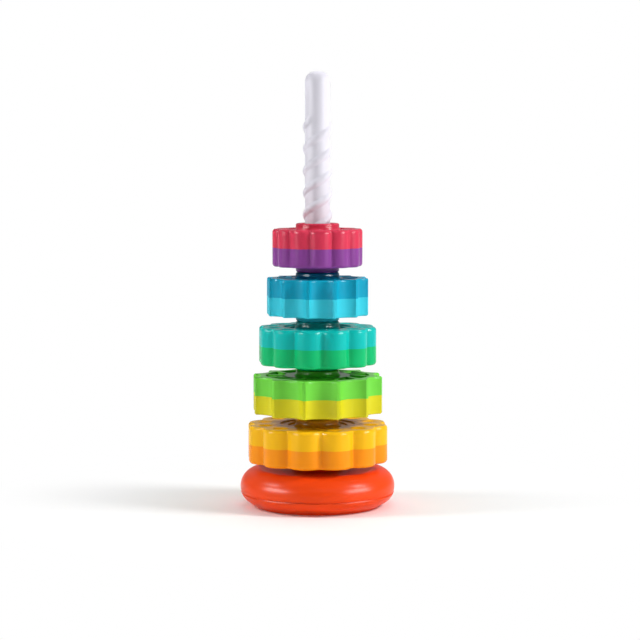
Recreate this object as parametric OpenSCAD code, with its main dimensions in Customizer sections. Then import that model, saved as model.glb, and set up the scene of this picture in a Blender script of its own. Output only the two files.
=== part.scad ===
// Spinning stacking tower: five two-part rings that screw down a ridged pole on a rounded base.
// The origin is the middle of the underside, +Z points up the pole and -Y is the front.

/* [Base] */
// Outside diameter of the base
base_d = 130; // [110:1:160]
// Radius of the rounded rim of the base
rim_round = 15; // [12:0.5:18]
// Height of the rounded rim above the table
rim_lift = 2; // [1:0.5:4]
// Diameter of the flat foot that meets the table
foot_d = 104; // [92:1:112]
// Height of the seam between the shell and the cover
seam_h = 12; // [9:0.5:14]
// Step at the seam by which the cover stands out from the shell
seam_step = 0.4; // [0.2:0.1:0.8]
// Wall thickness of the base mouldings
base_wall = 2.5; // [2:0.1:3.5]
// Height of the flat top round the seat, just under the crest of the rim
deck_h = 31.4; // [30:0.1:31.6]
// Height of the seat that carries the lowest ring
seat_h = 33; // [29:0.5:37]
// Diameter of the raised seat
seat_d = 43; // [40:1:52]
// Depth of the recessed panel under the base
panel_depth = 1.5; // [0.5:0.1:2.5]
// Diameter of the recessed panel under the base
panel_d = 88; // [84:1:90]

/* [Base fixings] */
// Number of screws in the cover
cover_screws = 4; // [3:1:6]
// Distance of the cover screws from the axis
cover_screw_r = 35; // [32:0.5:37]
// Shank diameter of the cover screws
cover_screw_d = 2.9; // [2.5:0.1:3.5]
// Shank diameter of the pole screw
pole_screw_d = 4; // [3:0.1:5]
// Radial play round every screw shank
screw_play = 0.15; // [0.05:0.05:0.3]

/* [Pole] */
// Diameter of the plain pole
pole_d = 21; // [18:0.5:22]
// Height of the pole tip above the table
pole_h = 364; // [320:1:420]
// Radius of the rounded tip
tip_round = 8.4; // [4:0.2:9]
// Wall thickness of the pole
pole_wall = 2.9; // [2:0.1:4]
// Radial play of the pole in its socket and of the plug in the pole
socket_play = 0.06; // [0.03:0.01:0.1]

/* [Screw ridge] */
// Rise of the screw ridge in one turn
lead = 36.5; // [30:0.5:45]
// Height of the ridge above the pole
ridge_h = 1.8; // [1:0.05:2]
// Width of the ridge along the pole
ridge_w = 9; // [6:0.5:10]
// Length of the plain pole above the ridge
tip_plain = 39; // [30:1:60]
// Gap between the seat and the lower end of the ridge
ridge_gap = 6; // [4:0.5:10]
// Direction of one ridge at the height of the seat
ridge_turn = 70.1; // [0:0.1:180]

/* [Rings] */
// Outside diameter of the top ring
ring_1_d = 75.6; // [70:0.2:80]
// Outside diameter of the second ring
ring_2_d = 86; // [82:0.2:92]
// Outside diameter of the third ring
ring_3_d = 99.6; // [94:0.2:104]
// Outside diameter of the fourth ring
ring_4_d = 110; // [106:0.2:114]
// Outside diameter of the lowest ring
ring_5_d = 119.2; // [116:0.2:126]
// Thickness of a ring without its collars
ring_t = 31.4; // [28:0.2:36]
// Height of each collar above the face of its ring
collar_h = 4.7; // [4:0.1:6]
// Outside diameter of the collars
collar_d = 36.4; // [35:0.2:38]
// Diameter of the bore
bore_d = 28.4; // [27.6:0.2:29]
// Air between stacked collars
stack_gap = 0.2; // [0.1:0.05:0.5]
// Wall thickness of the outer skin
ring_wall = 2.4; // [1.8:0.1:3]
// Thickness of the faces
face_t = 4.6; // [4.2:0.1:6]
// Number of lobes or teeth
lobes = 12; // [10:1:14]

/* [Lobed rings] */
// Valley radius between lobes in parts of the ring radius
lobe_valley = 0.925; // [0.9:0.005:0.95]
// Rounding of the outer edges of the lobes
lobe_round = 3.2; // [2:0.1:3.6]
// Depth of the dimple on each lobe
dimple_depth = 1.8; // [1:0.1:2.2]
// Depth of each of the two steps round the hub
moat_step = 1.1; // [0.6:0.1:1.4]

/* [Toothed rings] */
// Valley radius between teeth in parts of the ring radius
tooth_valley = 0.868; // [0.84:0.002:0.89]
// Width of the blunt tip of a tooth
tooth_tip = 2.6; // [2.5:0.1:4]
// Rounding of the outer edges of the teeth
tooth_round = 2; // [1:0.1:2.4]
// Depth of the slanted pockets
pocket_depth = 2; // [1:0.1:2.4]
// Width of the ribs between the pockets
pocket_rib = 3; // [2:0.1:4]
// Slant of the pockets from their inner to their outer end, in degrees
pocket_slant = 19; // [10:1:25]

/* [Ring inside] */
// Diameter of the follower lugs that ride between the ridges
lug_d = 5.2; // [4:0.1:6]
// Air between the tips of the lugs and the pole
lug_gap = 0.6; // [0.4:0.1:1]
// Wall thickness of the hub tubes
hub_wall = 2.7; // [2:0.1:3]
// Radial play between the hub tubes and the sleeve round them
sleeve_play = 0.08; // [0.03:0.01:0.1]
// Wall thickness of the sleeve
sleeve_wall = 1.8; // [1.2:0.1:2.2]
// Diameter of the locating pegs between the halves
peg_d = 3.6; // [3:0.1:4]
// Length of the locating pegs
peg_len = 5; // [3:0.5:7]

/* [Hidden] */
$fn = 96;
// Small overlap that keeps cuts clean
eps = 0.01;
// Overlap that joins the solids of one moulding
lap = 1;

// Base: the rim is a tube of radius rim_round round the circle of radius rim_r at the height belly_h
rim_r = base_d / 2 - rim_round;
belly_h = rim_round + rim_lift;
foot_r = foot_d / 2;
seat_r = seat_d / 2;
panel_r = panel_d / 2;
// Lip of the cover that stands inside the shell, set in from its wall
lip_set = 0.5;
// Where the straight flank from the foot runs into the rim
flank_turn = atan2(-belly_h, foot_r - rim_r) + acos(rim_round / norm([foot_r - rim_r, belly_h]));
flank = [rim_r + rim_round * cos(flank_turn), belly_h + rim_round * sin(flank_turn)];

// Heights inside the base, from the panel up to the foot of the pole
panel_top = panel_depth + base_wall;
screw_head_t = 2.6;
washer_t = 1;
washer_d = 2.8 * pole_screw_d;
head_air = 0.4;
washer_h = panel_top + head_air + screw_head_t;
socket_floor_t = 3;
socket_floor_h = washer_h + washer_t;
pole_foot_h = socket_floor_h + socket_floor_t;
socket_wall = 4;
key_depth = 1.1;
key_h = 16;

// Cover screws stand in cups that rise from the panel to meet the bosses of the shell
cup_wall = 2.2;
cup_rise = 5;
cup_head_r = cover_screw_d * 1.25;
cup_top = panel_top + cup_rise;
boss_d = 3 * cover_screw_d;
cover_screw_head_t = 2.2;
cover_screw_len = 12;

// Pole
pole_r = pole_d / 2;
ridge_low = seat_h + ridge_gap;
ridge_high = pole_h - tip_plain;
ridge_turns = (ridge_high - ridge_low) / lead;
ridge_steps = 18;
ridge_root = 0.5;
// The ridge sinks into the pole over this turn at each end, down to this part of its height
ridge_ramp = 40;
ridge_least = 0.1;
// Height of the ridge across its width, in parts of ridge_h
ridge_form = [[-0.36, 0.3], [-0.2, 0.82], [0, 1], [0.2, 0.82], [0.36, 0.3]];
plug_len = 16;
plug_roof = 2;
screw_air = 2;

// Rings, counted from the top
ring_d = [ring_1_d, ring_2_d, ring_3_d, ring_4_d, ring_5_d];
ring_lobed = [true, false, true, false, true];
// Direction of one lobe or tooth of each ring as it stands on the pole
ring_turn = [4.5, 19.5, 20, 18.5, 18];
upper_colour = ["#DE3654", "#0C9CBC", "#0ABAB2", "#70D244", "#F6BA12"];
lower_colour = ["#8A4296", "#38C6DA", "#0CB86E", "#D6CE1E", "#F89410"];
ring_count = len(ring_d);
half_t = ring_t / 2;
ring_pitch = ring_t + 2 * collar_h + stack_gap;
bore_r = bore_d / 2;
collar_r = collar_d / 2;
hub_r = bore_r + hub_wall;
ceiling_h = half_t - face_t;
lobe_step = 360 / lobes;
// Outer edges are rounded through this angle, so that they meet the face at a crisp edge
edge_turn = 60;
// Rounding in the valleys, in parts of the rounding of the lobes or teeth beside them
lobe_valley_round = 0.5;
tooth_valley_round = 0.75;
lip_round = 1.6;
// Plate, dimples and pockets of the faces, in parts of the ring radius
lobe_plate = 0.935;
crown_lap = 1.4;
dimple_place = 0.765;
dimple_size = 0.116;
pocket_inner = 0.5;
pocket_outer = 0.79;
pocket_reach = 1.06;
// Moats and pegs, from 0 at the collar to 1 at the rim
moat_outer = 0.32;
moat_inner = 0.17;
peg_place = 0.5;
// Flare at the foot of the collars
lobe_flare = 4.6;
tooth_flare = 3.4;
flare_sink = 0.4;
sleeve_end_gap = 0.3;
peg_play = 0.1;
peg_air = 0.5;
peg_boss_wall = 2;
pegs = 6;

function ring_h(k) = seat_h + stack_gap + collar_h + half_t + (ring_count - k) * ring_pitch;
function ridge_at(h) = ridge_turn + 360 * (h - seat_h) / lead;
// A place between the collar and the rim of a ring of radius r, from 0 at the collar to 1 at the rim
function across(r, part) = collar_r + (r - collar_r) * part;

// Base mouldings

module rim_outline(round) {
    translate([rim_r, belly_h]) circle(round);
}

module shell_outline() {
    difference() {
        union() {
            rim_outline(rim_round);
            square([rim_r, deck_h]);
            square([seat_r, seat_h]);
        }
        square([base_d, seam_h]);
        translate([0, seat_h]) square([seat_r, deck_h]);
    }
}

// A seat set lower than the flat top becomes a well with its own floor and wall.
module shell_hollow() {
    difference() {
        union() {
            rim_outline(rim_round - base_wall);
            square([rim_r, deck_h - base_wall]);
            translate([rim_r - rim_round, 0]) square([2 * rim_round - base_wall, belly_h]);
        }
        translate([0, seat_h - base_wall]) square([seat_r + base_wall, deck_h]);
    }
    square([seat_r - base_wall, seat_h - base_wall]);
}

module pole_section(play, height) {
    intersection() {
        cylinder(r = pole_r + play, h = height);
        translate([-pole_d, -pole_d, 0]) cube([2 * pole_d, pole_d + pole_r - key_depth + play, height]);
    }
}

module pole_socket() {
    socket_len = seat_h - base_wall / 2 - socket_floor_h;
    difference() {
        translate([0, 0, socket_floor_h]) cylinder(r = pole_r + socket_wall, h = socket_len);
        translate([0, 0, pole_foot_h + key_h]) cylinder(r = pole_r + socket_play, h = seat_h);
        translate([0, 0, pole_foot_h]) pole_section(socket_play, key_h + eps);
        cylinder(d = pole_screw_d + 2 * screw_play, h = seat_h);
    }
}

module cover_screw_places() {
    for (k = [0 : cover_screws - 1])
        rotate([0, 0, 360 * (k + 0.5) / cover_screws]) translate([cover_screw_r, 0, 0]) children();
}

module shell_boss() {
    difference() {
        translate([0, 0, cup_top]) cylinder(d = boss_d, h = deck_h - base_wall / 2 - cup_top);
        cylinder(d = cover_screw_d + 2 * screw_play, h = cup_top + cover_screw_len);
    }
}

module base_shell() {
    bore_low = min(deck_h, seat_h) - base_wall;
    color("#EE4610") {
        difference() {
            rotate_extrude() difference() {
                shell_outline();
                shell_hollow();
            }
            translate([0, 0, bore_low]) cylinder(r = pole_r + socket_play, h = seat_h);
        }
        pole_socket();
        cover_screw_places() shell_boss();
    }
}

module cover_outline() {
    intersection() {
        union() {
            rim_outline(rim_round + seam_step);
            polygon([[0, 0], [foot_r, 0], flank, [rim_r, belly_h], [0, belly_h]]);
        }
        square([base_d, seam_h]);
    }
}

module cover_hollow() {
    intersection() {
        rim_outline(rim_round - base_wall);
        translate([0, base_wall]) square([base_d, belly_h]);
    }
    translate([panel_r, base_wall]) square([rim_r - panel_r, belly_h]);
    translate([0, panel_top]) square([panel_r + eps, belly_h]);
    translate([0, -eps]) square([panel_r, panel_depth + eps]);
}

module cover_lip() {
    lip_r = rim_r + sqrt(pow(rim_round - base_wall, 2) - pow(belly_h - seam_h, 2)) - lip_set;
    lip_h = 3;
    translate([lip_r - base_wall, seam_h - lip_h]) square([base_wall, 2 * lip_h]);
}

module base_cover() {
    color("#E4441C") difference() {
        union() {
            rotate_extrude() {
                difference() {
                    cover_outline();
                    cover_hollow();
                }
                cover_lip();
            }
            cover_screw_places() translate([0, 0, panel_depth])
                cylinder(r = cup_head_r + cup_wall, h = cup_top - panel_depth);
        }
        cover_screw_places() {
            translate([0, 0, -eps]) cylinder(r = cup_head_r, h = cup_top - base_wall + eps);
            cylinder(d = cover_screw_d + 2 * screw_play, h = cup_top + eps);
        }
    }
}

module pan_screw(shank_d, head_d, head_t, length) {
    drive_w = head_d * 0.16;
    drive_l = head_d * 0.6;
    difference() {
        union() {
            translate([0, 0, -head_t]) cylinder(d = head_d, h = head_t);
            cylinder(d = shank_d, h = length);
        }
        for (turn = [0, 90])
            rotate([0, 0, turn]) translate([-drive_l / 2, -drive_w / 2, -head_t - eps])
                cube([drive_l, drive_w, head_t / 2]);
    }
}

module base_cover_screws() {
    head_d = 2 * cup_head_r - 2 * screw_play;
    color("#B9BCC0") cover_screw_places() translate([0, 0, cup_top - base_wall])
        pan_screw(cover_screw_d, head_d, cover_screw_head_t, cover_screw_len);
}

// Pole

function ridge_rise(turned) =
    max(ridge_least, min(1, turned / ridge_ramp, (360 * ridge_turns - turned) / ridge_ramp));
function ridge_point(turned, place, r) = [
    r * cos(turned), r * sin(turned), ridge_low + lead * turned / 360 + place * ridge_w
];
function ridge_section(turned) = concat(
    [ridge_point(turned, -0.5, pole_r - ridge_root)],
    [for (p = ridge_form)
        ridge_point(turned, p[0], pole_r - ridge_root + (p[1] * ridge_h + ridge_root) * ridge_rise(turned))],
    [ridge_point(turned, 0.5, pole_r - ridge_root)]
);

module ridge() {
    count = ceil(ridge_turns * ridge_steps);
    sections = [for (i = [0 : count]) ridge_section(360 * ridge_turns * i / count)];
    sides = len(sections[0]);
    skin = [
        for (i = [0 : count - 1]) for (j = [0 : sides - 1]) for (second = [false, true])
            let (a = i * sides + j, b = i * sides + (j + 1) % sides)
                second ? [a, b, b + sides] : [a, b + sides, a + sides]
    ];
    low_end = [for (j = [1 : sides - 2]) [0, j + 1, j]];
    high_end = [for (j = [1 : sides - 2]) [count * sides, count * sides + j, count * sides + j + 1]];
    polyhedron([for (s = sections) each s], concat(skin, low_end, high_end));
}

module pole_outline() {
    square([pole_r - tip_round, pole_h - pole_foot_h]);
    square([pole_r, pole_h - pole_foot_h - tip_round]);
    translate([pole_r - tip_round, pole_h - pole_foot_h - tip_round]) circle(tip_round);
}

module pole() {
    hollow_len = pole_h - pole_foot_h - tip_round - pole_wall;
    color("#EFEDF3") difference() {
        union() {
            translate([0, 0, pole_foot_h]) intersection() {
                rotate_extrude() intersection() {
                    pole_outline();
                    square([pole_d, pole_h]);
                }
                union() {
                    pole_section(0, key_h);
                    translate([0, 0, key_h]) cylinder(r = pole_d, h = pole_h);
                }
            }
            for (start = [0, 180]) rotate([0, 0, ridge_at(ridge_low) + start]) ridge();
        }
        translate([0, 0, pole_foot_h - eps]) cylinder(r = pole_r - pole_wall, h = hollow_len);
    }
}

module pole_plug() {
    color("#DDDDE2") translate([0, 0, pole_foot_h]) difference() {
        cylinder(r = pole_r - pole_wall - socket_play, h = plug_len);
        translate([0, 0, -eps]) cylinder(d = pole_screw_d + 2 * screw_play, h = plug_len - plug_roof);
    }
}

module pole_screw() {
    shank_len = washer_t + socket_floor_t + plug_len - plug_roof - screw_air;
    color("#B9BCC0") translate([0, 0, washer_h])
        pan_screw(pole_screw_d, 2 * pole_screw_d, screw_head_t, shank_len);
}

module pole_washer() {
    color("#C9CBCF") translate([0, 0, washer_h]) difference() {
        cylinder(d = washer_d, h = washer_t);
        translate([0, 0, -eps]) cylinder(d = pole_screw_d + 2 * screw_play, h = washer_t + 2 * eps);
    }
}

// Rings: each half is drawn with its joint face at zero height and its outer face up

module around_ring() {
    for (k = [0 : lobes - 1]) rotate([0, 0, k * lobe_step]) children();
}

// A disc whose upper edge is rounded
module rounded_disc(r, h, round) {
    start_h = h - round * sin(edge_turn);
    rotate_extrude() {
        square([r - round + round * cos(edge_turn), h]);
        square([r, start_h]);
        intersection() {
            translate([r - round, start_h]) circle(round);
            square([r, h]);
        }
    }
}

// A round post that leaves an edge rounded in the same way on what it is cut from
module notch_post(r, h, round) {
    start_h = h - round * sin(edge_turn);
    rotate_extrude() difference() {
        translate([0, -lap]) square([r + round - round * cos(edge_turn), h + 2 * lap]);
        translate([r, -lap]) square([round, start_h + lap]);
        translate([r + round, start_h]) circle(round);
    }
}

function lobe_centre(r) =
    r * (1 - pow(lobe_valley, 2)) / (2 * (1 - lobe_valley * cos(lobe_step / 2)));
function notch_centre(r) =
    let (half_gap = lobe_step / 2 - asin(tooth_tip / 2 / r))
    r * (1 - pow(tooth_valley, 2)) / (2 * (cos(half_gap) - tooth_valley));

// Lobes stand as a crown round a plain plate, which carries the dimples
module lobed_block(r) {
    centre = lobe_centre(r);
    plate_r = lobe_plate * r;
    difference() {
        around_ring() translate([centre, 0, 0]) rounded_disc(r - centre, half_t, lobe_round);
        translate([0, 0, -lap]) cylinder(r = plate_r - crown_lap, h = half_t + 2 * lap);
    }
    difference() {
        rounded_disc(plate_r, half_t, lobe_valley_round * lobe_round);
        lobed_face(r);
    }
}

module toothed_block(r) {
    centre = notch_centre(r);
    difference() {
        rounded_disc(r, half_t, tooth_round);
        around_ring() rotate([0, 0, lobe_step / 2]) translate([centre, 0, 0])
            notch_post(centre - r * tooth_valley, half_t, tooth_valley_round * tooth_round);
    }
}

module lobed_hollow(r) {
    translate([0, 0, -eps]) cylinder(r = lobe_valley * r - ring_wall, h = ceiling_h + eps);
}

module toothed_hollow(r) {
    centre = notch_centre(r);
    translate([0, 0, -eps]) difference() {
        cylinder(r = r - ring_wall, h = ceiling_h + eps);
        around_ring() rotate([0, 0, lobe_step / 2]) translate([centre, 0, -eps])
            cylinder(r = centre - r * tooth_valley + ring_wall, h = ceiling_h + 3 * eps);
    }
}

// A shallow bowl of radius r, cut down from the face
module dimple(r) {
    ball_r = (pow(r, 2) + pow(dimple_depth, 2)) / (2 * dimple_depth);
    translate([0, 0, half_t - dimple_depth]) rotate_extrude() intersection() {
        translate([0, ball_r]) circle(ball_r);
        square([r + lap, dimple_depth + lap]);
    }
}

// Two shallow steps round the hub and a dimple on each lobe
module lobed_face(r) {
    around_ring() translate([dimple_place * r, 0, 0]) dimple(dimple_size * r);
    translate([0, 0, half_t - moat_step]) cylinder(r = across(r, moat_outer), h = half_t);
    translate([0, 0, half_t - 2 * moat_step]) cylinder(r = across(r, moat_inner), h = half_t);
}

// Slanted pockets, left between ribs that run from the hub to the teeth
module toothed_face(r) {
    inner_r = pocket_inner * r;
    outer_r = pocket_outer * r;
    half_turn = lobe_step / 2;
    inner_half = half_turn - asin(pocket_rib / 2 / inner_r);
    outer_half = half_turn - asin(pocket_rib / 2 / outer_r);
    translate([0, 0, half_t - pocket_depth]) linear_extrude(half_t)
        intersection() {
            difference() {
                circle(outer_r);
                circle(inner_r);
            }
            union() around_ring() rotate(half_turn) polygon([
                for (side = [-1, 1]) inner_r / pocket_reach * [
                    cos(pocket_slant - side * inner_half), sin(pocket_slant - side * inner_half)
                ],
                for (side = [1, -1]) outer_r * pocket_reach * [
                    cos(-side * outer_half), sin(-side * outer_half)
                ]
            ]);
        }
}

// The hub tube and the collar that stands above the face, with a flare at its foot
module hub(floor_h, flare) {
    top_h = half_t + collar_h;
    rotate_extrude() {
        square([hub_r, half_t]);
        translate([0, floor_h - lap]) square([collar_r, top_h - lip_round - floor_h + lap]);
        translate([0, floor_h - lap]) square([collar_r - lip_round, top_h - floor_h + lap]);
        translate([collar_r - lip_round, top_h - lip_round]) circle(lip_round);
        difference() {
            translate([collar_r - lap, floor_h - flare_sink]) square([flare + lap, flare]);
            translate([collar_r + flare, floor_h - flare_sink + flare]) circle(flare);
        }
    }
}

module lugs(h) {
    reach = bore_r + hub_wall / 2;
    for (side = [0, 180]) rotate([0, 0, ridge_at(h) + 90 + side]) intersection() {
        rotate([0, 90, 0]) translate([0, 0, pole_r + lug_gap])
            cylinder(d = lug_d, h = reach - pole_r - lug_gap);
        translate([0, -lug_d, 0]) cube([reach + lap, 2 * lug_d, lug_d]);
    }
}

module peg_places(r) {
    for (k = [0 : pegs - 1])
        rotate([0, 0, 360 * k / pegs]) translate([across(r, peg_place), 0, 0]) children();
}

module half_ring(k) {
    r = ring_d[k - 1] / 2;
    lobed = ring_lobed[k - 1];
    floor_h = lobed ? half_t - 2 * moat_step : half_t;
    difference() {
        union() {
            rotate([0, 0, ring_turn[k - 1]]) difference() {
                if (lobed) lobed_block(r);
                else toothed_block(r);
                if (lobed) lobed_hollow(r);
                else toothed_hollow(r);
                if (!lobed) toothed_face(r);
            }
            hub(floor_h, lobed ? lobe_flare : tooth_flare);
            rotate([0, 0, ring_turn[k - 1]]) peg_places(r)
                cylinder(d = peg_d + 2 * peg_boss_wall, h = ceiling_h + lap);
        }
        translate([0, 0, -eps]) cylinder(r = bore_r, h = ring_t);
    }
    lugs(ring_h(k));
}

module ring_upper(k) {
    r = ring_d[k - 1] / 2;
    color(upper_colour[k - 1]) translate([0, 0, ring_h(k)]) difference() {
        half_ring(k);
        rotate([0, 0, ring_turn[k - 1]]) peg_places(r)
            translate([0, 0, -eps]) cylinder(d = peg_d + 2 * peg_play, h = peg_len + peg_air);
    }
}

module ring_lower(k) {
    r = ring_d[k - 1] / 2;
    color(lower_colour[k - 1]) translate([0, 0, ring_h(k)]) {
        mirror([0, 0, 1]) half_ring(k);
        rotate([0, 0, ring_turn[k - 1]]) peg_places(r)
            translate([0, 0, -lap]) cylinder(d = peg_d, h = peg_len + lap);
    }
}

module ring_sleeve(k) {
    inner_r = hub_r + sleeve_play;
    length = 2 * (ceiling_h - sleeve_end_gap);
    color("#D8D8DC") translate([0, 0, ring_h(k) - length / 2]) difference() {
        cylinder(r = inner_r + sleeve_wall, h = length);
        translate([0, 0, -eps]) cylinder(r = inner_r, h = length + 2 * eps);
    }
}

base_shell();
base_cover();
base_cover_screws();
pole();
pole_plug();
pole_screw();
pole_washer();
for (k = [1 : ring_count]) {
    ring_upper(k);
    ring_lower(k);
    ring_sleeve(k);
}
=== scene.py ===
"""Looks of the spinning stacking tower: moulded plastic, a ridged pole and a pale studio."""

import math

import bpy
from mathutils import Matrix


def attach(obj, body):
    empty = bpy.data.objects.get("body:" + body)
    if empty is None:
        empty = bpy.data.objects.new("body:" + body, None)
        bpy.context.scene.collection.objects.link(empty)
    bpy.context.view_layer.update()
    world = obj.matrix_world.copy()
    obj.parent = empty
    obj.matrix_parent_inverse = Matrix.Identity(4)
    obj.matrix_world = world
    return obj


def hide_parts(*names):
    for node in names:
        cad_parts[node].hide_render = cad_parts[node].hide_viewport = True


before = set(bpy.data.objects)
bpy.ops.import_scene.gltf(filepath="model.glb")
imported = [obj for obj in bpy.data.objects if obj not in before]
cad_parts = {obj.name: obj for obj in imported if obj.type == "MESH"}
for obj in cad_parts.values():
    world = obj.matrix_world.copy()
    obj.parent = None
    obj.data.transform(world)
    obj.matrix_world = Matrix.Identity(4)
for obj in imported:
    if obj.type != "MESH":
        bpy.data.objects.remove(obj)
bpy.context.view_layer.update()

# Sizes of the pole, in metres, as the solids have them
POLE_R = 0.0105
POLE_FOOT = 0.011
POLE_TOP = 0.364
POLE_WALL = 0.0029
TIP_ROUND = 0.0084
SEAT = 0.033
LEAD = 0.0365
RIDGE_HEIGHT = 0.0018
RIDGE_WIDTH = 0.009
RIDGE_LOW = 0.039
RIDGE_HIGH = 0.325

# The ridge: its direction at the seat and the turn over which its ends rise, both in degrees,
# then its two starts, and its section as half a width and the power that rounds its crest
RIDGE_TURN = 70.1
RIDGE_RAMP = 40.0
RIDGE_STARTS = (0.0, 180.0)
RIDGE_HALF = 0.45
RIDGE_POWER = 1.3

# Steps of the pole's mesh round it, up it and over its tip
POLE_SIDES = 96
POLE_LENGTHS = 4
CUTS_IN_LENGTH = 95
TIP_STEPS = 14

# Points this near count as level with each other, and as on the outside of the pole
LEVEL = 1e-6
OUTSIDE = 1e-5

# Edges that bend by more than this many degrees stay sharp
POLE_CREASE = 40
RING_CREASE = 35

# The lobed rings: radius in metres, direction of the first lobe in degrees, and the reach of the
# valleys between the lobes in parts of that radius, which is a little less than in the solids
LOBED_RINGS = {1: (0.0378, 4.5, 0.905), 3: (0.0498, 20.0, 0.885), 5: (0.0596, 18.0, 0.885)}
LOBES = 12
SOLID_VALLEY = 0.925

# In parts of a lobed ring's radius: where its wall starts to follow the deeper valleys, and the
# breadth over which it comes to follow them fully
WALL_START = 0.78
WALL_BLEND = 0.09

# Height of the base's seam and of the rounded lip under it
SEAM = 0.012
LIP = 0.001

# Colours as they look in daylight
BASE_RED = "EE4610"
POLE_WHITE = "DEDCE6"
TUBE_GREY = "D8D8DC"
ZINC = "B9BCC0"
RING_COLOURS = {
    1: ("D43A54", "864292"),
    2: ("0C9CBC", "38C6DA"),
    3: ("0ABAB2", "0CB86E"),
    4: ("70D244", "D6CE1E"),
    5: ("F6BA12", "F89410"),
}

# Reflection of the plastics and the plating
IOR = 1.5
SPECULAR = 0.12

# Kinds of socket
COLOUR = "NodeSocketColor"
NUMBER = "NodeSocketFloat"

WHITE = (1, 1, 1, 1)


def colour(code):
    """A colour code as the linear colour that the shaders take."""
    parts = [int(code[i : i + 2], 16) / 255 for i in (0, 2, 4)]
    return [c / 12.92 if c <= 0.04045 else ((c + 0.055) / 1.055) ** 2.4 for c in parts] + [1.0]


# Shader nodes


def new_group(name, inputs, outputs):
    """An empty shader group. The inputs and outputs give each socket's name and kind."""
    group = bpy.data.node_groups.new(name, "ShaderNodeTree")
    for way, sockets in (("INPUT", inputs), ("OUTPUT", outputs)):
        for socket, kind in sockets.items():
            group.interface.new_socket(socket, in_out=way, socket_type=kind)
    return group


def add_node(tree, kind, **values):
    """A new node. Each value goes to the socket of that name, with spaces for underscores."""
    node = tree.nodes.new(kind)
    for socket, value in values.items():
        node.inputs[socket.replace("_", " ")].default_value = value
    return node


def add_math(tree, operation, first, second):
    """The output of a sum of two terms, each of them an output or a plain number."""
    node = tree.nodes.new("ShaderNodeMath")
    node.operation = operation
    for place, term in enumerate((first, second)):
        if isinstance(term, float):
            node.inputs[place].default_value = term
        else:
            tree.links.new(term, node.inputs[place])
    return node.outputs[0]


def add_noise(tree, vector, **values):
    """The output of a noise over the given coordinates."""
    noise = add_node(tree, "ShaderNodeTexNoise", **values)
    tree.links.new(vector, noise.inputs["Vector"])
    return noise.outputs["Fac"]


def add_range(tree, value, smooth=False, **values):
    """The output of a value that is taken from one range to another."""
    reach = add_node(tree, "ShaderNodeMapRange", **values)
    if smooth:
        reach.interpolation_type = "SMOOTHSTEP"
    tree.links.new(value, reach.inputs["Value"])
    return reach.outputs["Result"]


def add_mix(tree, share, first, second):
    """The output of two shaders that are mixed by a share."""
    mix = tree.nodes.new("ShaderNodeMixShader")
    tree.links.new(share, mix.inputs["Fac"])
    tree.links.new(first.outputs[0], mix.inputs[1])
    tree.links.new(second.outputs[0], mix.inputs[2])
    return mix.outputs[0]


# Materials


def moulding_group():
    """Moulded plastic: slow drift of the colour, faint rub marks and a fine skin texture."""
    group = new_group(
        "moulded_skin",
        {"Colour": COLOUR, "Drift": NUMBER, "Gloss": NUMBER, "Rub": NUMBER},
        {"Colour": COLOUR, "Roughness": NUMBER, "Height": NUMBER},
    )
    link = group.links.new
    inside = add_node(group, "NodeGroupInput").outputs
    out = add_node(group, "NodeGroupOutput").inputs
    place = add_node(group, "ShaderNodeTexCoord").outputs["Object"]

    flow = add_noise(group, place, Scale=22, Detail=3)
    swing = add_math(group, "SUBTRACT", flow, 0.5)
    amount = add_math(group, "MULTIPLY", swing, inside["Drift"])
    tone = add_node(group, "ShaderNodeHueSaturation")
    link(inside["Colour"], tone.inputs["Color"])
    link(add_math(group, "ADD", amount, 1.0), tone.inputs["Value"])
    link(tone.outputs["Color"], out["Colour"])

    stretch = add_node(
        group, "ShaderNodeMapping", Scale=(160, 160, 900), Rotation=(0.3, 0.2, 0.5)
    )
    link(place, stretch.inputs["Vector"])
    scuffs = add_noise(group, stretch.outputs["Vector"], Scale=1, Detail=4)
    marks = add_range(group, scuffs, From_Min=0.52, From_Max=0.8)
    rubbed = add_math(group, "MULTIPLY", marks, inside["Rub"])
    link(add_math(group, "ADD", rubbed, inside["Gloss"]), out["Roughness"])

    link(add_noise(group, place, Scale=520, Detail=2), out["Height"])
    return group


def turned_group():
    """Turned metal: fine rings about the upright axis and a cloudy plating."""
    group = new_group(
        "turned_plating",
        {"Colour": COLOUR},
        {"Colour": COLOUR, "Roughness": NUMBER, "Height": NUMBER},
    )
    link = group.links.new
    inside = add_node(group, "NodeGroupInput").outputs
    out = add_node(group, "NodeGroupOutput").inputs
    place = add_node(group, "ShaderNodeTexCoord").outputs["Object"]

    cloud = add_noise(group, place, Scale=400, Detail=4)
    tone = add_node(group, "ShaderNodeHueSaturation")
    link(add_range(group, cloud, To_Min=0.8, To_Max=1.15), tone.inputs["Value"])
    link(inside["Colour"], tone.inputs["Color"])
    link(tone.outputs["Color"], out["Colour"])
    link(add_range(group, cloud, To_Min=0.22, To_Max=0.45), out["Roughness"])

    rings = add_node(group, "ShaderNodeTexWave", Scale=900, Distortion=0.6)
    rings.wave_type = "RINGS"
    rings.rings_direction = "Z"
    link(place, rings.inputs["Vector"])
    link(rings.outputs["Fac"], out["Height"])
    return group


def lip_group():
    """The rounded upper lip of the base's cover, where it meets the shell at the seam."""
    group = new_group("rounded_lip", {}, {"Height": NUMBER})
    link = group.links.new
    out = add_node(group, "NodeGroupOutput").inputs
    place = add_node(group, "ShaderNodeTexCoord").outputs["Object"]
    split = add_node(group, "ShaderNodeSeparateXYZ")
    link(place, split.inputs["Vector"])
    fall = add_range(
        group, split.outputs["Z"], From_Min=SEAM - LIP, From_Max=SEAM, To_Min=1.0, To_Max=0.0
    )
    link(fall, out["Height"])
    return group


MOULDED_SKIN = moulding_group()
TURNED_PLATING = turned_group()
ROUNDED_LIP = lip_group()


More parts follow.
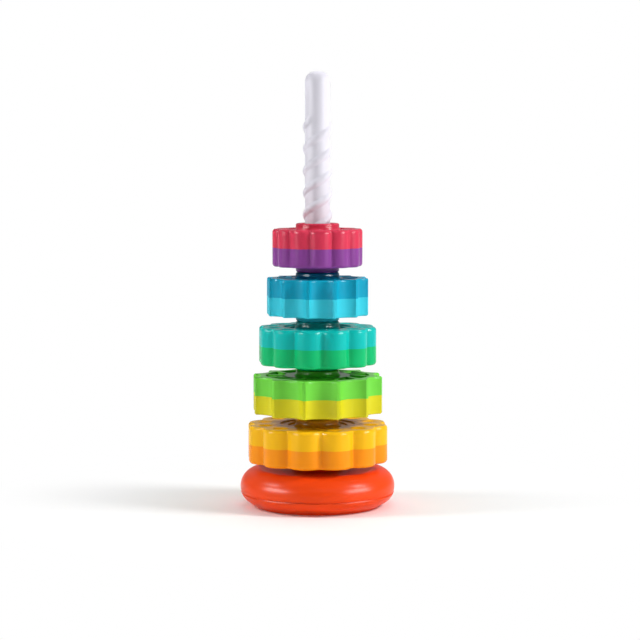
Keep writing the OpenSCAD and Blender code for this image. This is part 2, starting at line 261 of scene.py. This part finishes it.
def finish_material(name, group, values, bump_strength, bump_distance, metallic=0.0):
    """A material whose colour, gloss and skin come from one of the shared groups."""
    made = bpy.data.materials.new(name)
    made.use_nodes = True
    tree = made.node_tree
    link = tree.links.new
    shader = tree.nodes["Principled BSDF"].inputs
    shader["Metallic"].default_value = metallic
    shader["IOR"].default_value = IOR
    shader["Specular IOR Level"].default_value = SPECULAR
    surface = tree.nodes.new("ShaderNodeGroup")
    surface.node_tree = group
    for socket, value in values.items():
        surface.inputs[socket].default_value = value
    bump = add_node(tree, "ShaderNodeBump", Strength=bump_strength, Distance=bump_distance)
    link(surface.outputs["Colour"], shader["Base Color"])
    link(surface.outputs["Roughness"], shader["Roughness"])
    link(surface.outputs["Height"], bump.inputs["Height"])
    link(bump.outputs["Normal"], shader["Normal"])
    return made


def gloss_plastic(name, code, gloss=0.17, drift=0.10):
    """The outside mouldings."""
    values = {"Colour": colour(code), "Drift": drift, "Gloss": gloss, "Rub": 0.03}
    return finish_material(name, MOULDED_SKIN, values, bump_strength=0.05, bump_distance=0.0002)


def plain_plastic(name, code):
    """The mouldings that are out of sight."""
    values = {"Colour": colour(code), "Drift": 0.12, "Gloss": 0.42, "Rub": 0.2}
    return finish_material(name, MOULDED_SKIN, values, bump_strength=0.15, bump_distance=0.0002)


def plated_steel(name, code):
    """The screws and the washer."""
    values = {"Colour": colour(code)}
    return finish_material(
        name, TURNED_PLATING, values, bump_strength=0.1, bump_distance=0.00005, metallic=1.0
    )


def add_lip(material):
    """Rounds the lip of the cover, under the fine skin that the material has already."""
    tree = material.node_tree
    lip = tree.nodes.new("ShaderNodeGroup")
    lip.node_tree = ROUNDED_LIP
    slope = add_node(tree, "ShaderNodeBump", Strength=1.0, Distance=LIP)
    tree.links.new(lip.outputs["Height"], slope.inputs["Height"])
    tree.links.new(slope.outputs["Normal"], tree.nodes["Bump"].inputs["Normal"])


base_red = gloss_plastic("base_red_plastic", BASE_RED, gloss=0.28)
cover_red = gloss_plastic("base_cover_plastic", BASE_RED, gloss=0.32)
add_lip(cover_red)
pole_white = gloss_plastic("pole_white_plastic", POLE_WHITE, gloss=0.42, drift=0.04)
tube_grey = plain_plastic("inner_tube_plastic", TUBE_GREY)
zinc_steel = plated_steel("zinc_plated_steel", ZINC)


def dress(node, material):
    """Puts one material on a CAD node."""
    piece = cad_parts[node]
    if len(piece.material_slots) == 0:
        piece.data.materials.append(material)
    for place in piece.material_slots:
        place.material = material


dress("base_shell", base_red)
dress("base_cover", cover_red)
dress("pole", pole_white)
dress("pole_plug", tube_grey)
for node in ("base_cover_screws", "pole_screw", "pole_washer"):
    dress(node, zinc_steel)
for number, (above, below) in RING_COLOURS.items():
    dress(f"ring_{number}_upper", gloss_plastic(f"ring_{number}_upper_plastic", above))
    dress(f"ring_{number}_lower", gloss_plastic(f"ring_{number}_lower_plastic", below))
    dress(f"ring_{number}_sleeve", tube_grey)


# The pole: a tube drawn straight with two ribs, then twisted into the screw ridge


def rib_height(turn, z):
    """Part of the full rib height at an untwisted direction, in degrees, and a height."""
    best = 0.0
    for start in RIDGE_STARTS:
        off = (turn - RIDGE_TURN + 360 * SEAT / LEAD - start + 180) % 360 - 180
        place = -off / 360 * LEAD / RIDGE_WIDTH
        if abs(place) < RIDGE_HALF:
            turned = (z - RIDGE_LOW - place * RIDGE_WIDTH) / LEAD * 360
            whole = (RIDGE_HIGH - RIDGE_LOW) / LEAD * 360
            rise = max(0.0, min(1.0, turned / RIDGE_RAMP, (whole - turned) / RIDGE_RAMP))
            rise = rise * rise * (3 - 2 * rise)
            form = (1 - (place / RIDGE_HALF) ** 2) ** RIDGE_POWER
            best = max(best, form * rise)
    return best


def choose(piece, wanted):
    """Selects the points of a piece in edit mode by their place, and the edges between them."""
    bpy.ops.mesh.select_mode(type="VERT")
    bpy.ops.mesh.select_all(action="DESELECT")
    bpy.ops.object.mode_set(mode="OBJECT")
    for vertex in piece.data.vertices:
        vertex.select = wanted(vertex.co)
    bpy.ops.object.mode_set(mode="EDIT")
    bpy.ops.mesh.select_mode(type="EDGE")


def choose_uprights(piece):
    """Selects the edges of a piece in edit mode that join points of different heights."""
    bpy.ops.mesh.select_mode(type="EDGE")
    bpy.ops.mesh.select_all(action="DESELECT")
    bpy.ops.object.mode_set(mode="OBJECT")
    for edge in piece.data.edges:
        low, high = (piece.data.vertices[i].co.z for i in edge.vertices)
        edge.select = abs(high - low) > LEVEL
    bpy.ops.object.mode_set(mode="EDIT")


def draw_up(height):
    """Extrudes the selected edge ring and moves it up."""
    bpy.ops.mesh.extrude_region_move(TRANSFORM_OT_translate={"value": (0, 0, height)})


def draw_ring(scale, height):
    """Extrudes the selected edge ring, moves it up and scales it about the axis."""
    draw_up(height)
    bpy.ops.transform.resize(value=(scale, scale, 1), center_override=(0, 0, 0))


def draw_tip():
    """Rounds the selected edge ring over into the tip of the pole and closes it."""
    radius = POLE_R
    for step in range(1, TIP_STEPS + 1):
        angle = math.pi / 2 * step / TIP_STEPS
        before = TIP_ROUND * math.sin(math.pi / 2 * (step - 1) / TIP_STEPS)
        after = POLE_R - TIP_ROUND + TIP_ROUND * math.cos(angle)
        draw_ring(after / radius, TIP_ROUND * math.sin(angle) - before)
        radius = after
    bpy.ops.mesh.edge_face_add()


def raise_ribs(pole):
    """Raises the two straight ribs from the outside of the tube and twists them round it."""
    ribs = pole.vertex_groups.new(name="ribs")
    for vertex in pole.data.vertices:
        if math.hypot(vertex.co.x, vertex.co.y) > POLE_R - OUTSIDE:
            turn = math.degrees(math.atan2(vertex.co.y, vertex.co.x))
            weight = rib_height(turn, vertex.co.z)
            if weight > 0:
                ribs.add([vertex.index], weight, "REPLACE")
    lift = pole.modifiers.new("lift", "DISPLACE")
    lift.vertex_group = "ribs"
    lift.mid_level = 0.0
    lift.strength = RIDGE_HEIGHT
    bpy.ops.object.modifier_apply(modifier="lift")
    twist = pole.modifiers.new("twist", "SIMPLE_DEFORM")
    twist.deform_method = "TWIST"
    twist.deform_axis = "Z"
    twist.angle = 2 * math.pi * (POLE_TOP - POLE_FOOT) / LEAD
    bpy.ops.object.modifier_apply(modifier="twist")
    pole.vertex_groups.clear()


def make_pole():
    bpy.ops.object.select_all(action="DESELECT")
    bpy.ops.mesh.primitive_circle_add(
        vertices=POLE_SIDES, radius=POLE_R, location=(0, 0, POLE_FOOT)
    )
    bpy.ops.object.transform_apply(location=True)
    pole = bpy.context.object
    pole.name = "pole_ridged"
    bpy.ops.object.mode_set(mode="EDIT")
    bpy.ops.mesh.select_all(action="SELECT")
    for _ in range(POLE_LENGTHS):
        draw_up((POLE_TOP - TIP_ROUND - POLE_FOOT) / POLE_LENGTHS)
    choose_uprights(pole)
    bpy.ops.mesh.subdivide(number_cuts=CUTS_IN_LENGTH)
    choose(pole, lambda co: co.z > POLE_TOP - TIP_ROUND - LEVEL)
    draw_tip()

    # The tube's open foot and its bore
    choose(pole, lambda co: co.z < POLE_FOOT + LEVEL)
    draw_ring((POLE_R - POLE_WALL) / POLE_R, 0)
    draw_up(POLE_TOP - TIP_ROUND - POLE_WALL - POLE_FOOT)
    bpy.ops.mesh.edge_face_add()
    bpy.ops.mesh.select_all(action="SELECT")
    bpy.ops.mesh.normals_make_consistent(inside=False)
    bpy.ops.object.mode_set(mode="OBJECT")

    raise_ribs(pole)
    bpy.ops.object.shade_smooth_by_angle(angle=math.radians(POLE_CREASE))
    pole.data.materials.append(pole_white)
    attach(pole, "base")
    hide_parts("pole")


make_pole()


# The lobed rings: deeper valleys between the lobes than the solids have


def lobe_reach(radius, valley, turn):
    """Distance from the axis to a lobed ring's wall, at an angle from the middle of a lobe."""
    half = math.pi / LOBES
    centre = radius * (1 - valley**2) / (2 * (1 - valley * math.cos(half)))
    bend = radius - centre
    return centre * math.cos(turn) + math.sqrt(bend**2 - (centre * math.sin(turn)) ** 2)


def deepen_valleys(piece, radius, first_lobe, valley):
    """Draws the wall in between the lobes, and leaves the faces and the hub as they are."""
    step = 2 * math.pi / LOBES
    for vertex in piece.data.vertices:
        across = math.hypot(vertex.co.x, vertex.co.y)
        turn = math.atan2(vertex.co.y, vertex.co.x) - math.radians(first_lobe)
        turn = (turn + step / 2) % step - step / 2
        hold = max(0.0, min(1.0, (across / radius - WALL_START) / WALL_BLEND))
        deeper = lobe_reach(radius, SOLID_VALLEY, turn) - lobe_reach(radius, valley, turn)
        inwards = hold * deeper
        vertex.co.x *= 1 - inwards / across
        vertex.co.y *= 1 - inwards / across


def make_lobed_half(number, half):
    node = f"ring_{number}_{half}"
    bpy.ops.object.select_all(action="DESELECT")
    piece = bpy.data.objects.new(f"{node}_lobed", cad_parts[node].data.copy())
    bpy.context.collection.objects.link(piece)
    piece.select_set(True)
    bpy.context.view_layer.objects.active = piece
    bpy.ops.object.mode_set(mode="EDIT")
    bpy.ops.mesh.select_all(action="SELECT")
    bpy.ops.mesh.remove_doubles(threshold=LEVEL)
    bpy.ops.object.mode_set(mode="OBJECT")
    deepen_valleys(piece, *LOBED_RINGS[number])
    bpy.ops.object.shade_smooth_by_angle(angle=math.radians(RING_CREASE))
    flat_faces = piece.modifiers.new("flat_faces", "WEIGHTED_NORMAL")
    flat_faces.keep_sharp = True
    flat_faces.weight = 100
    bpy.ops.object.modifier_apply(modifier="flat_faces")
    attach(piece, f"ring_{number}")
    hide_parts(node)


for number in LOBED_RINGS:
    for half in ("upper", "lower"):
        make_lobed_half(number, half)


# Studio

# Distances from the tower, in metres, between which the floor runs into the white background
FADE_FROM = 0.075
FADE_TO = 0.3

# The brightest side of the room: overhead and behind the tower
BRIGHT_SIDE = (0.1, 0.5, 0.86)


def studio_floor():
    bpy.ops.object.select_all(action="DESELECT")
    bpy.ops.mesh.primitive_plane_add(size=8, location=(0, 0, 0))
    floor = bpy.context.object
    floor.name = "studio_floor"
    made = bpy.data.materials.new("studio_white")
    made.use_nodes = True
    tree = made.node_tree
    link = tree.links.new
    place = add_node(tree, "ShaderNodeTexCoord").outputs["Object"]
    shader = tree.nodes["Principled BSDF"]
    shader.inputs["Roughness"].default_value = 0.6
    grain = add_noise(tree, place, Scale=30)
    link(add_range(tree, grain, To_Min=0.93, To_Max=0.95), shader.inputs["Base Color"])

    # Away from the tower the floor runs into the white background, as a paper sweep does
    far = tree.nodes.new("ShaderNodeVectorMath")
    far.operation = "LENGTH"
    link(place, far.inputs[0])
    fade = add_range(
        tree, far.outputs["Value"], smooth=True, From_Min=FADE_FROM, From_Max=FADE_TO
    )
    path = add_node(tree, "ShaderNodeLightPath").outputs
    seen = add_math(tree, "MAXIMUM", path["Is Camera Ray"], path["Is Glossy Ray"])
    share = add_math(tree, "MULTIPLY", fade, seen)
    white = add_node(tree, "ShaderNodeEmission", Color=WHITE, Strength=1.0)
    link(add_mix(tree, share, shader, white), tree.nodes["Material Output"].inputs["Surface"])
    floor.data.materials.append(made)


def studio_world():
    world = bpy.context.scene.world or bpy.data.worlds.new("studio_world")
    bpy.context.scene.world = world
    world.use_nodes = True
    tree = world.node_tree
    tree.nodes.clear()
    link = tree.links.new
    out = add_node(tree, "ShaderNodeOutputWorld").inputs
    place = add_node(tree, "ShaderNodeTexCoord").outputs["Generated"]
    path = add_node(tree, "ShaderNodeLightPath").outputs
    seen = add_node(tree, "ShaderNodeBackground", Color=WHITE, Strength=1.0)
    lit = add_node(tree, "ShaderNodeBackground", Color=WHITE)

    # The room is bright overhead and behind the tower, and dim on the camera's side
    facing = tree.nodes.new("ShaderNodeVectorMath")
    facing.operation = "DOT_PRODUCT"
    facing.inputs[1].default_value = BRIGHT_SIDE
    link(place, facing.inputs[0])
    room = add_range(
        tree, facing.outputs["Value"], From_Min=-0.5, From_Max=0.9, To_Min=0.03, To_Max=0.3
    )
    link(room, lit.inputs["Strength"])

    # Gloss mirrors the white background behind the tower, and the dim room on the camera's side
    split = add_node(tree, "ShaderNodeSeparateXYZ")
    link(place, split.inputs["Vector"])
    behind = add_range(
        tree, split.outputs["Y"], smooth=True, From_Min=-0.2, From_Max=0.4, To_Max=0.15
    )
    mirrored = add_math(tree, "MULTIPLY", path["Is Glossy Ray"], behind)
    either = add_math(tree, "MAXIMUM", path["Is Camera Ray"], mirrored)
    link(add_mix(tree, either, lit, seen), out["Surface"])


def soft_box(name, place, aim, width, height, power):
    """An area lamp that faces the point it is aimed at."""
    bpy.ops.object.light_add(type="AREA", location=place)
    lamp = bpy.context.object
    lamp.name = name
    lamp.data.shape = "RECTANGLE"
    lamp.data.size = width
    lamp.data.size_y = height
    lamp.data.energy = power
    x, y, z = (a - p for a, p in zip(aim, place))
    tilt = math.atan2(math.hypot(x, y), -z)
    lamp.rotation_euler = (tilt, 0, math.atan2(y, x) - math.pi / 2)


studio_floor()
studio_world()

LAMP_AIM = (0, 0, 0.15)
soft_box("right_box", (1.16, -0.31, 1.0), LAMP_AIM, 0.4, 0.4, 17)
soft_box("left_box", (-1.2, -0.1, 1.0), LAMP_AIM, 0.4, 0.4, 11)
soft_box("front_box", (0.2, -1.3, 0.9), LAMP_AIM, 1.0, 0.5, 2)
soft_box("top_strip", (0.1, 0.45, 1.3), LAMP_AIM, 1.2, 0.12, 4)

# Two windows that show in the gloss alone
WINDOW_AIM = (0, 0, 0.1)
WINDOW_HEIGHT = 0.46
for name, x, y in (("right_window", 1.27, -0.62), ("left_window", -1.28, -0.6)):
    soft_box(name, (x, y, WINDOW_HEIGHT), WINDOW_AIM, 0.9, 0.4, 40)
    bpy.context.object.visible_diffuse = False

# Camera: the focal length is in pixels of a square picture, the sensor in millimetres and the
# downward pitch in degrees
PICTURE = 640
FOCAL = 2033.0
SENSOR = 36
PITCH = 4.75
CAMERA_PLACE = (0.0021, -1.701, 0.298)
bpy.ops.object.camera_add(location=CAMERA_PLACE, rotation=(math.radians(90 - PITCH), 0, 0))
camera = bpy.context.object
camera.data.sensor_width = SENSOR
camera.data.lens = FOCAL * SENSOR / PICTURE
bpy.context.scene.camera = camera

bpy.context.scene.view_settings.view_transform = "Standard"
